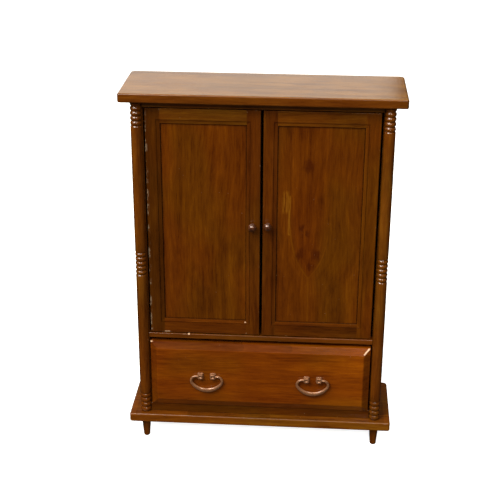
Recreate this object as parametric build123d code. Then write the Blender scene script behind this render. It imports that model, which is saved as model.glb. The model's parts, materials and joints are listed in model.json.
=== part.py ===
"""Dolls' house wardrobe, 1:12: a two-door hanging cupboard over one long drawer.

Millimetres.  +X is the wardrobe's left-to-right seen from the front, +Y is its depth (the doors
face -Y) and +Z is up.  The origin is on the floor under the middle of the cabinet.

The carcass is two sides with a top, a shelf and a bottom housed into them, a back in a rebate, and
overhanging boards above and below.  A turned column stands at each front corner.  The framed doors
turn on brads driven through the carcass top and the shelf.  The drawer runs on the carcass bottom.
"""

import math
import os

from build123d import *

# ---- driving dimensions ------------------------------------------------------------------------
HEIGHT = 152.0            # floor to the top of the top board (6 in)
WIDTH = 110.0             # base board, the widest piece
DEPTH = 34.8              # top board, front to back

TOP_WIDTH = 109.6
TOP_THICK = 3.6
BASE_THICK = 3.9
FOOT_HEIGHT = 8.5
BOARD_EDGE_ROUND = 0.6    # worn round-over on the top and base boards
FRONT_CORNER_ROUND = 0.9  # their corners seen from above
REAR_CORNER_ROUND = 1.8
ARRIS = 0.25              # broken edge on every smaller piece

OPENING_HALF = 46.0       # half the clear width between the sides
SIDE_THICK = 3.8
HOUSING = 1.0             # how deep the carcass boards are let into the sides
CARCASS_FRONT = -13.9     # front edges of the carcass top, shelf and bottom
SIDE_FRONT = -12.0
CARCASS_BACK = 17.0
BACK_THICK = 1.6
CARCASS_TOP_THICK = 2.4
CARCASS_BOTTOM_THICK = 3.8
SHELF_THICK = 2.1
SHELF_TOP = 49.5

COLUMN_X = 48.4
COLUMN_Y = -13.5
COLUMN_RADIUS = 2.25
BEAD_PITCH = 1.95
BASE_BEAD_PITCH = 2.2
GROOVE_DEPTH = 0.42
BEADS_TOP = 5
BEADS_MIDDLE = 5
BEADS_BASE = 4
MIDDLE_BEADS_Z = 81.0
ENTASIS = 0.04            # how much slimmer the shafts are at their ends

TENON_RADIUS = 1.0
TENON_LENGTH = 1.6
GLUE_GAP = 0.03           # radial gap of a glued dowel, tenon or let-in end

DOOR_THICK = 3.0
DOOR_FRONT = -13.4
DOOR_OUTER_X = 45.2
DOOR_GAP_HALF = 0.55      # half the gap where the doors meet
DOOR_BOTTOM = 49.9
DOOR_TOP = 145.55
OUTER_STILE_WIDTH = 5.8
INNER_STILE_WIDTH = 5.4
TOP_RAIL_HEIGHT = 6.0
BOTTOM_RAIL_HEIGHT = 6.1
PANEL_THICK = 1.4
PANEL_RECESS = 1.0        # from the frame's face to the panel's face
BEAD_WIDTH = 1.2          # sloping bead run round the inside of the frame
BEAD_SUNK = 0.15          # its crest below the frame's face
BEAD_FALL = 0.3           # from its crest down to its edge beside the panel
QUIRK_WIDTH = 0.35        # narrow groove between the bead and the frame's face
QUIRK_DEPTH = 0.4
GROOVE = 1.3              # depth of the groove that holds the panel
GROOVE_GAP = 0.05

PIVOT_X = 43.4
PIN_RADIUS = 0.6
PIN_HEAD_RADIUS = 1.0
PIN_HEAD_THICK = 0.4
PIN_IN_DOOR = 4.0
PIN_RUNNING = 0.06        # radial running clearance of the doors on their brads

LEFT_KNOB = (-3.5, 98.2)  # x and z of each knob: drilled by hand, so a little uneven
RIGHT_KNOB = (2.6, 98.7)
KNOB_RADIUS = 1.7
KNOB_PROJECTION = 3.5
SHANK_RADIUS = 0.5
SHANK_LENGTH = 2.2

DRAWER_HALF = 45.5
DRAWER_BOTTOM = 16.3
DRAWER_TOP = 45.9
DRAWER_FACE = -15.7       # the raised field
BEVEL_WIDTH = 2.9
BEVEL_DEPTH = 1.5
DRAWER_FRONT_BACK = -11.5
DRAWER_SIDE_THICK = 2.0
DRAWER_SIDE_TOP = 42.9
DRAWER_REAR = 14.2
DRAWER_BOTTOM_THICK = 1.2
DRAWER_BOTTOM_LIFT = 1.9
DRAWER_HOUSING = 1.0

PULL_X = 22.1             # middle of each pull, from the cabinet's middle
PULL_Z = 31.2             # the bail's pivot
POST_SPACING = 5.2
POST_WIDTH = 2.5
POST_HEIGHT = 2.6
POST_DEPTH = 1.6
BAIL_AXIS_OUT = 0.85      # pivot in front of the drawer's face
BAIL_PIN_RADIUS = 0.45
BAIL_RADIUS = 0.55
BAIL_HALF = 6.45          # centreline half width
BAIL_CORNER = 2.1
BAIL_DROP = 6.5           # centreline, pivot to lowest point
BAIL_BELLY = 0.95         # half thickness of the bail at its lowest point
BAIL_RUNNING = 0.06
PIN_SHOW = 0.2            # how far the bail's wire stops short of its post

RAIL_RADIUS = 1.0
RAIL_Y = 2.0
RAIL_Z = 136.0
RAIL_LET_IN = 1.5

# ---- levels worked out from them ---------------------------------------------------------------
HALF_DEPTH = DEPTH / 2
BASE_TOP = FOOT_HEIGHT + BASE_THICK
TOP_BOARD_Z = HEIGHT - TOP_THICK
CARCASS_BOTTOM_Z = BASE_TOP + CARCASS_BOTTOM_THICK
CARCASS_TOP_Z = TOP_BOARD_Z - CARCASS_TOP_THICK
SHELF_BOTTOM = SHELF_TOP - SHELF_THICK
BACK_FACE = CARCASS_BACK - BACK_THICK
SIDE_OUTER = OPENING_HALF + SIDE_THICK
REAR_FOOT_Y = -COLUMN_Y
DOOR_BACK = DOOR_FRONT + DOOR_THICK
DOOR_MIDDLE_Y = DOOR_FRONT + DOOR_THICK / 2
PANEL_FACE = DOOR_FRONT + PANEL_RECESS
OUTER_STILE_X = DOOR_OUTER_X - OUTER_STILE_WIDTH
INNER_STILE_X = DOOR_GAP_HALF + INNER_STILE_WIDTH
PANEL_LOW = DOOR_BOTTOM + BOTTOM_RAIL_HEIGHT
PANEL_HIGH = DOOR_TOP - TOP_RAIL_HEIGHT
DRAWER_FLOOR_LOW = DRAWER_BOTTOM + DRAWER_BOTTOM_LIFT
DRAWER_FLOOR_HIGH = DRAWER_FLOOR_LOW + DRAWER_BOTTOM_THICK
DRAWER_SIDE_INNER = DRAWER_HALF - DRAWER_SIDE_THICK
DRAWER_BACK_FACE = DRAWER_REAR - DRAWER_SIDE_THICK
BAIL_Y = DRAWER_FACE - BAIL_AXIS_OUT
POST_OUTER = POST_SPACING / 2 + POST_WIDTH / 2
POST_INNER = POST_SPACING / 2 - POST_WIDTH / 2
LEFT, RIGHT = -1, 1


# ---- helpers -----------------------------------------------------------------------------------
def block(x, y, z):
    """A box from its x, y and z ranges, each range in either order."""
    low = [min(r) for r in (x, y, z)]
    size = [abs(r[1] - r[0]) for r in (x, y, z)]
    return Pos(*low) * Box(*size, align=(Align.MIN, Align.MIN, Align.MIN))


def rod(radius, start, direction, length):
    """A cylinder from a start point along a direction."""
    plane = Plane(origin=start, z_dir=direction)
    return extrude(plane * Circle(radius), length)


def soften(solid, radius, keep=lambda edge: True):
    """Rounds the straight edges of a solid that keep() accepts."""
    edges = [e for e in solid.edges() if e.geom_type == GeomType.LINE and keep(e)]
    return fillet(edges, radius)


def on_plane(edge, axis, value):
    """True if the whole edge lies at that coordinate (axis 0, 1 or 2)."""
    box = edge.bounding_box()
    low, high = tuple(box.min)[axis], tuple(box.max)[axis]
    return abs(low - value) < 1e-4 and abs(high - value) < 1e-4


def turned(profile_edges):
    """A solid of revolution about Z from edges in the XZ plane that close on the axis."""
    return revolve(make_face(profile_edges), Axis.Z)


def xz(radius, height):
    return (radius, 0, height)


# ---- the carcass -------------------------------------------------------------------------------
def overhanging_board(half_width, z_low, z_high):
    """The top or base board: round corners seen from above, and rounded front, ends and back."""
    board = block((-half_width, half_width), (-HALF_DEPTH, HALF_DEPTH), (z_low, z_high))
    for y, corner in ((-HALF_DEPTH, FRONT_CORNER_ROUND), (HALF_DEPTH, REAR_CORNER_ROUND)):
        board = fillet([e for e in board.edges().filter_by(Axis.Z) if on_plane(e, 1, y)], corner)
    rims = board.edges().filter_by(lambda e: on_plane(e, 2, z_low) or on_plane(e, 2, z_high))
    return fillet(rims, BOARD_EDGE_ROUND)


def corner_points(front_only=False):
    """Where the columns and the feet stand, as (x, y)."""
    rows = (COLUMN_Y,) if front_only else (COLUMN_Y, REAR_FOOT_Y)
    return [(side * COLUMN_X, y) for y in rows for side in (LEFT, RIGHT)]


def top_board():
    board = overhanging_board(TOP_WIDTH / 2, TOP_BOARD_Z, HEIGHT)
    for x, y in corner_points(front_only=True):
        board -= rod(TENON_RADIUS + GLUE_GAP, (x, y, TOP_BOARD_Z), (0, 0, 1), TENON_LENGTH + 0.1)
    return board


def base_board():
    board = overhanging_board(WIDTH / 2, FOOT_HEIGHT, BASE_TOP)
    for x, y in corner_points(front_only=True):
        board -= rod(TENON_RADIUS + GLUE_GAP, (x, y, BASE_TOP), (0, 0, -1), TENON_LENGTH + 0.1)
    for x, y in corner_points():
        board -= rod(TENON_RADIUS + GLUE_GAP, (x, y, FOOT_HEIGHT), (0, 0, 1), TENON_LENGTH + 0.1)
    return board


def carcass_side(side):
    """A side board with housings for the three carcass boards, a rebate for the back and a
    blind hole for the hanging rail."""
    inner, outer = side * OPENING_HALF, side * SIDE_OUTER
    housed = side * (OPENING_HALF + HOUSING)
    board = block((inner, outer), (SIDE_FRONT, CARCASS_BACK), (BASE_TOP, TOP_BOARD_Z))
    board = soften(board, ARRIS, lambda e: on_plane(e, 0, outer) and e.length > SIDE_THICK * 9)
    levels = (
        (BASE_TOP, CARCASS_BOTTOM_Z),
        (SHELF_BOTTOM, SHELF_TOP),
        (CARCASS_TOP_Z, TOP_BOARD_Z),
    )
    for level in levels:
        board -= block((inner, housed), (SIDE_FRONT, BACK_FACE), level)
    board -= block((inner, housed), (BACK_FACE, CARCASS_BACK), (BASE_TOP, TOP_BOARD_Z))
    start = (inner, RAIL_Y, RAIL_Z)
    board -= rod(RAIL_RADIUS + GLUE_GAP, start, (side, 0, 0), RAIL_LET_IN + 0.1)
    return board


def carcass_board(z_low, z_high):
    """A board let into both sides, notched at the front to pass between the columns."""
    let_in = OPENING_HALF + HOUSING - GLUE_GAP
    body = block((-let_in, let_in), (SIDE_FRONT, BACK_FACE), (z_low, z_high))
    nose = block((-OPENING_HALF, OPENING_HALF), (CARCASS_FRONT, SIDE_FRONT), (z_low, z_high))
    board = body + nose
    return soften(board, ARRIS, lambda e: on_plane(e, 1, CARCASS_FRONT) and e.length > OPENING_HALF)


def pin_hole(board, side, z_head, direction):
    """Drills a carcass board for a brad whose head is sunk in the face at z_head."""
    start = (side * PIVOT_X, DOOR_MIDDLE_Y, z_head)
    board -= rod(PIN_RADIUS + GLUE_GAP, start, (0, 0, direction), CARCASS_TOP_THICK * 2)
    return board - rod(PIN_HEAD_RADIUS + GLUE_GAP, start, (0, 0, direction), PIN_HEAD_THICK)


def carcass_top():
    board = carcass_board(CARCASS_TOP_Z, TOP_BOARD_Z)
    for side in (LEFT, RIGHT):
        board = pin_hole(board, side, TOP_BOARD_Z, -1)
    return board


def shelf():
    board = carcass_board(SHELF_BOTTOM, SHELF_TOP)
    for side in (LEFT, RIGHT):
        board = pin_hole(board, side, SHELF_BOTTOM, 1)
    return board


def carcass_bottom():
    return carcass_board(BASE_TOP, CARCASS_BOTTOM_Z)


def back_panel():
    half = OPENING_HALF + HOUSING - GLUE_GAP
    return block((-half, half), (BACK_FACE, CARCASS_BACK), (BASE_TOP, TOP_BOARD_Z))


def hanging_rail():
    half = OPENING_HALF + RAIL_LET_IN
    return rod(RAIL_RADIUS, (-half, RAIL_Y, RAIL_Z), (1, 0, 0), 2 * half)


# ---- turned work -------------------------------------------------------------------------------
def bead_run(z_low, count, pitch):
    """Half-round beads with a groove between each, as arcs going up the profile."""
    groove = COLUMN_RADIUS - GROOVE_DEPTH
    arcs = []
    for n in range(count):
        low = z_low + n * pitch
        points = xz(groove, low), xz(COLUMN_RADIUS, low + pitch / 2), xz(groove, low + pitch)
        arcs.append(ThreePointArc(*points))
    return arcs


def shaft_run(z_low, z_high):
    """A plain shaft with a slight swell, stepping out of the groove at each end."""
    groove = COLUMN_RADIUS - GROOVE_DEPTH
    end = COLUMN_RADIUS - ENTASIS
    step = GROOVE_DEPTH - ENTASIS
    low, high = z_low + step, z_high - step
    return [
        Line(xz(groove, z_low), xz(end, low)),
        ThreePointArc(xz(end, low), xz(COLUMN_RADIUS, (low + high) / 2), xz(end, high)),
        Line(xz(end, high), xz(groove, z_high)),
    ]


def column(side):
    """A beaded column with a round tenon at each end and a flat planed on its back."""
    groove = COLUMN_RADIUS - GROOVE_DEPTH
    base_end = BASE_TOP + BEADS_BASE * BASE_BEAD_PITCH
    middle_low = MIDDLE_BEADS_Z - BEADS_MIDDLE * BEAD_PITCH / 2
    middle_high = MIDDLE_BEADS_Z + BEADS_MIDDLE * BEAD_PITCH / 2
    top_start = TOP_BOARD_Z - BEADS_TOP * BEAD_PITCH
    foot, head = BASE_TOP - TENON_LENGTH, TOP_BOARD_Z + TENON_LENGTH
    profile = [
        Polyline(xz(0, head), xz(0, foot), xz(TENON_RADIUS, foot), xz(TENON_RADIUS, BASE_TOP)),
        Line(xz(TENON_RADIUS, BASE_TOP), xz(groove, BASE_TOP)),
        *bead_run(BASE_TOP, BEADS_BASE, BASE_BEAD_PITCH),
        *shaft_run(base_end, middle_low),
        *bead_run(middle_low, BEADS_MIDDLE, BEAD_PITCH),
        *shaft_run(middle_high, top_start),
        *bead_run(top_start, BEADS_TOP, BEAD_PITCH),
        Polyline(
            xz(groove, TOP_BOARD_Z),
            xz(TENON_RADIUS, TOP_BOARD_Z),
            xz(TENON_RADIUS, head),
            xz(0, head),
        ),
    ]
    solid = Pos(side * COLUMN_X, COLUMN_Y, 0) * turned(profile)
    x = side * COLUMN_X
    reach = COLUMN_RADIUS * 2
    flat = block((x - reach, x + reach), (SIDE_FRONT, SIDE_FRONT + reach), (BASE_TOP, TOP_BOARD_Z))
    return solid - flat


def foot(x, y):
    """A blunt tapering peg foot with a rounded end, a small flat tip and a tenon."""
    tip, toe, top = 0.8, 1.35, 1.85
    toe_height = 0.9
    tenon_top = FOOT_HEIGHT + TENON_LENGTH
    profile = [
        Polyline(xz(0, tenon_top), xz(0, 0), xz(tip, 0)),
        ThreePointArc(xz(tip, 0), xz(toe - 0.14, toe_height * 0.32), xz(toe, toe_height)),
        Line(xz(toe, toe_height), xz(top, FOOT_HEIGHT)),
        Polyline(
            xz(top, FOOT_HEIGHT),
            xz(TENON_RADIUS, FOOT_HEIGHT),
            xz(TENON_RADIUS, tenon_top),
            xz(0, tenon_top),
        ),
    ]
    return Pos(x, y, 0) * turned(profile)


# ---- the doors ---------------------------------------------------------------------------------
def panel_groove(x, z):
    """The space that the panel and the tongues fill, over an x and z range."""
    return block(x, (PANEL_FACE - GROOVE_GAP, PANEL_FACE + PANEL_THICK + GROOVE_GAP), z)


def frame_opening(side, margin, y_back):
    """The panel's opening, widened by a margin, from in front of the door back to y_back."""
    return block(
        (side * (INNER_STILE_X - margin), side * (OUTER_STILE_X + margin)),
        (DOOR_FRONT - PANEL_RECESS, y_back),
        (PANEL_LOW - margin, PANEL_HIGH + margin),
    )


def sunk_bead(side):
    """What is cut from a frame's face to leave a sloping bead and a quirk round the panel."""
    crest = DOOR_FRONT + BEAD_SUNK
    slope = frame_opening(side, BEAD_WIDTH, crest + BEAD_FALL)
    rear = slope.faces().sort_by(Axis.Y)[-1]
    slope = chamfer(rear.edges(), BEAD_WIDTH, BEAD_FALL, reference=rear)
    quirk_floor = DOOR_FRONT + QUIRK_DEPTH
    quirk = frame_opening(side, BEAD_WIDTH + QUIRK_WIDTH, quirk_floor)
    return slope + (quirk - frame_opening(side, BEAD_WIDTH, quirk_floor))


def door_stile(side, x_edge, x_groove):
    """A full-height stile between x_edge and x_groove, grooved along x_groove."""
    inward = math.copysign(GROOVE, x_edge - x_groove)
    stile = block(
        (side * x_edge, side * x_groove),
        (DOOR_FRONT, DOOR_BACK),
        (DOOR_BOTTOM, DOOR_TOP),
    )
    seam = side * x_groove
    stile = soften(stile, ARRIS, lambda e: on_plane(e, 1, DOOR_FRONT) and not on_plane(e, 0, seam))
    groove = panel_groove((seam, side * (x_groove + inward)), (DOOR_BOTTOM, DOOR_TOP))
    return stile - groove - sunk_bead(side)


def outer_stile(side):
    """The hinge stile, drilled at both ends for the brads."""
    stile = door_stile(side, DOOR_OUTER_X, OUTER_STILE_X)
    for z, up in ((DOOR_BOTTOM, 1), (DOOR_TOP, -1)):
        start = (side * PIVOT_X, DOOR_MIDDLE_Y, z)
        stile -= rod(PIN_RADIUS + PIN_RUNNING, start, (0, 0, up), PIN_IN_DOOR + 0.3)
    return stile


def knob_place(side):
    """Where a knob meets its door's face."""
    x, z = LEFT_KNOB if side == LEFT else RIGHT_KNOB
    return (x, DOOR_FRONT, z)


def inner_stile(side):
    """The meeting stile, drilled for the knob's shank."""
    stile = door_stile(side, DOOR_GAP_HALF, INNER_STILE_X)
    return stile - rod(SHANK_RADIUS + GLUE_GAP, knob_place(side), (0, 1, 0), SHANK_LENGTH + 0.1)


def door_rail(side, z_edge, z_groove):
    """A rail between z_edge and z_groove, with end tongues and a groove along z_groove."""
    x_span = (side * INNER_STILE_X, side * OUTER_STILE_X)
    rail = block(x_span, (DOOR_FRONT, DOOR_BACK), (z_edge, z_groove))
    rail = soften(rail, ARRIS, lambda e: on_plane(e, 1, DOOR_FRONT) and on_plane(e, 2, z_edge))
    tongue = GROOVE - GROOVE_GAP
    tongues = block(
        (side * (INNER_STILE_X - tongue), side * (OUTER_STILE_X + tongue)),
        (PANEL_FACE, PANEL_FACE + PANEL_THICK),
        (z_edge, z_groove),
    )
    depth = math.copysign(GROOVE, z_edge - z_groove)
    groove = panel_groove((0, side * DOOR_OUTER_X), (z_groove, z_groove + depth))
    return rail + tongues - groove - sunk_bead(side)


def door_panel(side):
    let_in = GROOVE - 2 * GROOVE_GAP
    return block(
        (side * (INNER_STILE_X - let_in), side * (OUTER_STILE_X + let_in)),
        (PANEL_FACE, PANEL_FACE + PANEL_THICK),
        (PANEL_LOW - let_in, PANEL_HIGH + let_in),
    )


def knob(side):
    """A turned metal knob: shank, flange, neck and a domed head."""
    neck, flange, flange_thick = 0.65, 1.15, 0.45
    neck_end = KNOB_PROJECTION * 0.28
    rim = KNOB_PROJECTION - KNOB_RADIUS
    lean = math.sqrt(0.5)
    profile = [
        Polyline(
            xz(0, KNOB_PROJECTION),
            xz(0, -SHANK_LENGTH),
            xz(SHANK_RADIUS, -SHANK_LENGTH),
            xz(SHANK_RADIUS, 0),
            xz(flange, 0),
            xz(flange, flange_thick),
            xz(neck, flange_thick),
            xz(neck, neck_end),
        ),
        ThreePointArc(xz(neck, neck_end), xz(KNOB_RADIUS * 0.87, rim * 0.72), xz(KNOB_RADIUS, rim)),
        ThreePointArc(
            xz(KNOB_RADIUS, rim),
            xz(KNOB_RADIUS * lean, rim + KNOB_RADIUS * lean),
            xz(0, KNOB_PROJECTION),
        ),
    ]
    place = Plane(origin=knob_place(side), x_dir=(1, 0, 0), z_dir=(0, -1, 0))
    return place * turned(profile)


def pivot_brad(side, z_head, direction, z_end):
    """A headed brad from the carcass board into the end of the door's outer stile."""
    start = (side * PIVOT_X, DOOR_MIDDLE_Y, z_head)
    shaft = rod(PIN_RADIUS, start, (0, 0, direction), abs(z_end - z_head))
    head = rod(PIN_HEAD_RADIUS, start, (0, 0, direction), PIN_HEAD_THICK)
    return shaft + head


# ---- the drawer --------------------------------------------------------------------------------
def drawer_floor_space(x, y):
    """The groove that the drawer's bottom slides into."""
    z = (DRAWER_FLOOR_LOW - GROOVE_GAP, DRAWER_FLOOR_HIGH + GROOVE_GAP)
    return block(x, y, z)


def drawer_front():
    """A raised and bevelled front, rebated at its ends for the drawer's sides."""
    spans = (-DRAWER_HALF, DRAWER_HALF), (DRAWER_FACE, DRAWER_FRONT_BACK), (DRAWER_BOTTOM, DRAWER_TOP)
    front = block(*spans)
    face = front.faces().sort_by(Axis.Y)[0]
    front = chamfer(face.edges(), BEVEL_WIDTH, BEVEL_DEPTH, reference=face)
    front = soften(front, ARRIS, lambda e: on_plane(e, 1, DRAWER_FACE))
    side_y = (DRAWER_FRONT_BACK - DRAWER_HOUSING, DRAWER_FRONT_BACK)
    for side in (LEFT, RIGHT):
        ends = (side * DRAWER_SIDE_INNER, side * DRAWER_HALF)
        front -= block(ends, side_y, (DRAWER_BOTTOM, DRAWER_SIDE_TOP + GROOVE_GAP))
        for post in (LEFT, RIGHT):
            x = side * PULL_X + post * POST_SPACING / 2
            start = (x, DRAWER_FACE, PULL_Z)
            front -= rod(SHANK_RADIUS + GLUE_GAP, start, (0, 1, 0), SHANK_LENGTH + 0.1)
    inside = (-DRAWER_SIDE_INNER, DRAWER_SIDE_INNER)
    return front - drawer_floor_space(inside, side_y)


def drawer_side(side):
    x = (side * DRAWER_SIDE_INNER, side * (DRAWER_HALF - GLUE_GAP))
    y = (DRAWER_FRONT_BACK - DRAWER_HOUSING, DRAWER_REAR)
    board = block(x, y, (DRAWER_BOTTOM, DRAWER_SIDE_TOP))
    board = soften(board, ARRIS, lambda e: on_plane(e, 2, DRAWER_SIDE_TOP) and e.length > 9)
    groove_x = (side * DRAWER_SIDE_INNER, side * (DRAWER_SIDE_INNER + DRAWER_HOUSING))
    return board - drawer_floor_space(groove_x, y)


def drawer_back():
    inside = (-DRAWER_SIDE_INNER, DRAWER_SIDE_INNER)
    z = (DRAWER_FLOOR_HIGH + GROOVE_GAP, DRAWER_SIDE_TOP)
    return block(inside, (DRAWER_BACK_FACE, DRAWER_REAR), z)


def drawer_bottom():
    half = DRAWER_SIDE_INNER + DRAWER_HOUSING - GROOVE_GAP
    front_half = DRAWER_SIDE_INNER - GROOVE_GAP
    front_y = DRAWER_FRONT_BACK - DRAWER_HOUSING + GROOVE_GAP
    z = (DRAWER_FLOOR_LOW, DRAWER_FLOOR_HIGH)
    body = block((-half, half), (DRAWER_FRONT_BACK, DRAWER_REAR), z)
    return body + block((-front_half, front_half), (front_y, DRAWER_FRONT_BACK), z)


# ---- the drawer pulls --------------------------------------------------------------------------
def pull_posts(side):
    """The two square posts of a pull, each drilled across for the bail and with a shank behind."""
    posts = []
    for post in (LEFT, RIGHT):
        x = side * PULL_X + post * POST_SPACING / 2
        half, tall = POST_WIDTH / 2, POST_HEIGHT / 2
        body = block(
            (x - half, x + half),
            (DRAWER_FACE - POST_DEPTH, DRAWER_FACE),
            (PULL_Z - tall, PULL_Z + tall),
        )
        body = soften(body, 0.3, lambda e: on_plane(e, 1, DRAWER_FACE - POST_DEPTH))
        body += rod(SHANK_RADIUS, (x, DRAWER_FACE, PULL_Z), (0, 1, 0), SHANK_LENGTH)
        across = rod(BAIL_PIN_RADIUS + BAIL_RUNNING, (x - half, BAIL_Y, PULL_Z), (1, 0, 0), POST_WIDTH)
        posts.append(body - across)
    return Compound(children=posts)


def bail_wire():
    """The bail's wire about its own pivot, in the XZ plane: two pins, two corners and one bow."""
    neck = POST_OUTER + PIN_SHOW
    corner_x = BAIL_HALF - BAIL_CORNER
    # The bow's radius makes it tangent to both corner arcs.
    bow = (corner_x**2 + BAIL_DROP**2 - 2 * BAIL_DROP * BAIL_CORNER) / (2 * (BAIL_DROP - 2 * BAIL_CORNER))
    bow_centre = bow - BAIL_DROP
    reach = math.hypot(corner_x, bow_centre + BAIL_CORNER)
    meet_x = corner_x * (1 + BAIL_CORNER / reach)
    meet_z = -BAIL_CORNER - BAIL_CORNER * (bow_centre + BAIL_CORNER) / reach
    path = [
        Line((-neck, 0, 0), (-corner_x, 0, 0)),
        ThreePointArc((-corner_x, 0, 0), (-BAIL_HALF, 0, -BAIL_CORNER), (-meet_x, 0, meet_z)),
        ThreePointArc((-meet_x, 0, meet_z), (0, 0, -BAIL_DROP), (meet_x, 0, meet_z)),
        ThreePointArc((meet_x, 0, meet_z), (BAIL_HALF, 0, -BAIL_CORNER), (corner_x, 0, 0)),
        Line((corner_x, 0, 0), (neck, 0, 0)),
    ]
    wire = sweep(Plane(origin=(-neck, 0, 0), z_dir=(1, 0, 0)) * Circle(BAIL_RADIUS), Wire(path))
    return wire, meet_x, meet_z


def bail(side):
    """A drop bail: round wire, thickened along its bow, with a pin at each end in its post."""
    wire, meet_x, meet_z = bail_wire()
    tip = meet_x - BAIL_RADIUS * 0.3
    low, high = -BAIL_DROP - BAIL_BELLY, -BAIL_DROP + BAIL_BELLY
    crescent = make_face([
        ThreePointArc((-tip, 0, meet_z), (0, 0, low), (tip, 0, meet_z)),
        ThreePointArc((tip, 0, meet_z), (0, 0, high), (-tip, 0, meet_z)),
    ])
    bow = extrude(crescent, BAIL_RADIUS, dir=(0, 1, 0), both=True)
    neck = POST_OUTER + PIN_SHOW
    pin_end = POST_INNER + PIN_SHOW
    pins = [rod(BAIL_PIN_RADIUS, (s * neck, 0, 0), (-s, 0, 0), neck - pin_end) for s in (LEFT, RIGHT)]
    solid = wire + bow + pins[0] + pins[1]
    return Pos(side * PULL_X, BAIL_Y, PULL_Z) * solid


# ---- every node, by name -----------------------------------------------------------------------
def all_nodes():
    nodes = {
        "top_board": top_board(),
        "base_board": base_board(),
        "carcass_top": carcass_top(),
        "shelf": shelf(),
        "carcass_bottom": carcass_bottom(),
        "back_panel": back_panel(),
        "hanging_rail": hanging_rail(),
        "drawer_front": drawer_front(),
        "drawer_back": drawer_back(),
        "drawer_bottom": drawer_bottom(),
    }
    for name, side in (("left", LEFT), ("right", RIGHT)):
        nodes[f"{name}_side"] = carcass_side(side)
        nodes[f"{name}_column"] = column(side)
        nodes[f"front_{name}_foot"] = foot(side * COLUMN_X, COLUMN_Y)
        nodes[f"rear_{name}_foot"] = foot(side * COLUMN_X, REAR_FOOT_Y)
        nodes[f"{name}_door_outer_stile"] = outer_stile(side)
        nodes[f"{name}_door_inner_stile"] = inner_stile(side)
        nodes[f"{name}_door_top_rail"] = door_rail(side, DOOR_TOP, PANEL_HIGH)
        nodes[f"{name}_door_bottom_rail"] = door_rail(side, DOOR_BOTTOM, PANEL_LOW)
        nodes[f"{name}_door_panel"] = door_panel(side)
        nodes[f"{name}_door_knob"] = knob(side)
        nodes[f"{name}_door_top_brad"] = pivot_brad(side, TOP_BOARD_Z, -1, DOOR_TOP - PIN_IN_DOOR)
        nodes[f"{name}_door_bottom_brad"] = pivot_brad(side, SHELF_BOTTOM, 1, DOOR_BOTTOM + PIN_IN_DOOR)
        nodes[f"drawer_{name}_side"] = drawer_side(side)
        nodes[f"{name}_pull_posts"] = pull_posts(side)
        nodes[f"{name}_pull_bail"] = bail(side)
    return nodes


os.makedirs("parts", exist_ok=True)
for node_name, node in all_nodes().items():
    export_step(node, f"parts/{node_name}.step")
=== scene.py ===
import json
import math
from collections import namedtuple

import bmesh
import bpy
from mathutils import Matrix, Vector


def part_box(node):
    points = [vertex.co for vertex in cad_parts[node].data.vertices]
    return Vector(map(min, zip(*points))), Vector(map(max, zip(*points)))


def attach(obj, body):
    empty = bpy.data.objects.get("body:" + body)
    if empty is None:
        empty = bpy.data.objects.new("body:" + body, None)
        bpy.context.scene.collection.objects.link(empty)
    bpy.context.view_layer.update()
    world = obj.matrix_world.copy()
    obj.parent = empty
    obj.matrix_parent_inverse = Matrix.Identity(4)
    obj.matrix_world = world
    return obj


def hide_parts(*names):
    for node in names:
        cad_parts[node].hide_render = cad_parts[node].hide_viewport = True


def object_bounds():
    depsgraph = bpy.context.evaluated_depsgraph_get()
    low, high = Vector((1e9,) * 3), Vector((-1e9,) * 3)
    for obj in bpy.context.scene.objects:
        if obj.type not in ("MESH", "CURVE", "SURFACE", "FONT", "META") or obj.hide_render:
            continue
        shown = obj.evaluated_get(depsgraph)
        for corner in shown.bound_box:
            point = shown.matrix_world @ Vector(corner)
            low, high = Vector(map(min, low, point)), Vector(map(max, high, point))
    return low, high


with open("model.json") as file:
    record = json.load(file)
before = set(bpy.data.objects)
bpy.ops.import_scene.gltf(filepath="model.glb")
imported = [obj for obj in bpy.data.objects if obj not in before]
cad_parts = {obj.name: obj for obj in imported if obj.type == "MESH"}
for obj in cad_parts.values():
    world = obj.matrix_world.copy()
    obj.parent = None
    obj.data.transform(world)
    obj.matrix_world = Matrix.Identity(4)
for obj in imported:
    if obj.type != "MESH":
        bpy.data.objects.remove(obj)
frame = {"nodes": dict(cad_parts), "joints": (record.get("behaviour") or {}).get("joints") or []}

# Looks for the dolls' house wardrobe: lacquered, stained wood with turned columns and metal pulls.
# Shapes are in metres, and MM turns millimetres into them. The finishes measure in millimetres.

MM = 0.001
CAD_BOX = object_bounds()
NODES = frame["nodes"]
SIDES = ("left", "right")
X, Y, Z = 0, 1, 2


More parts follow.
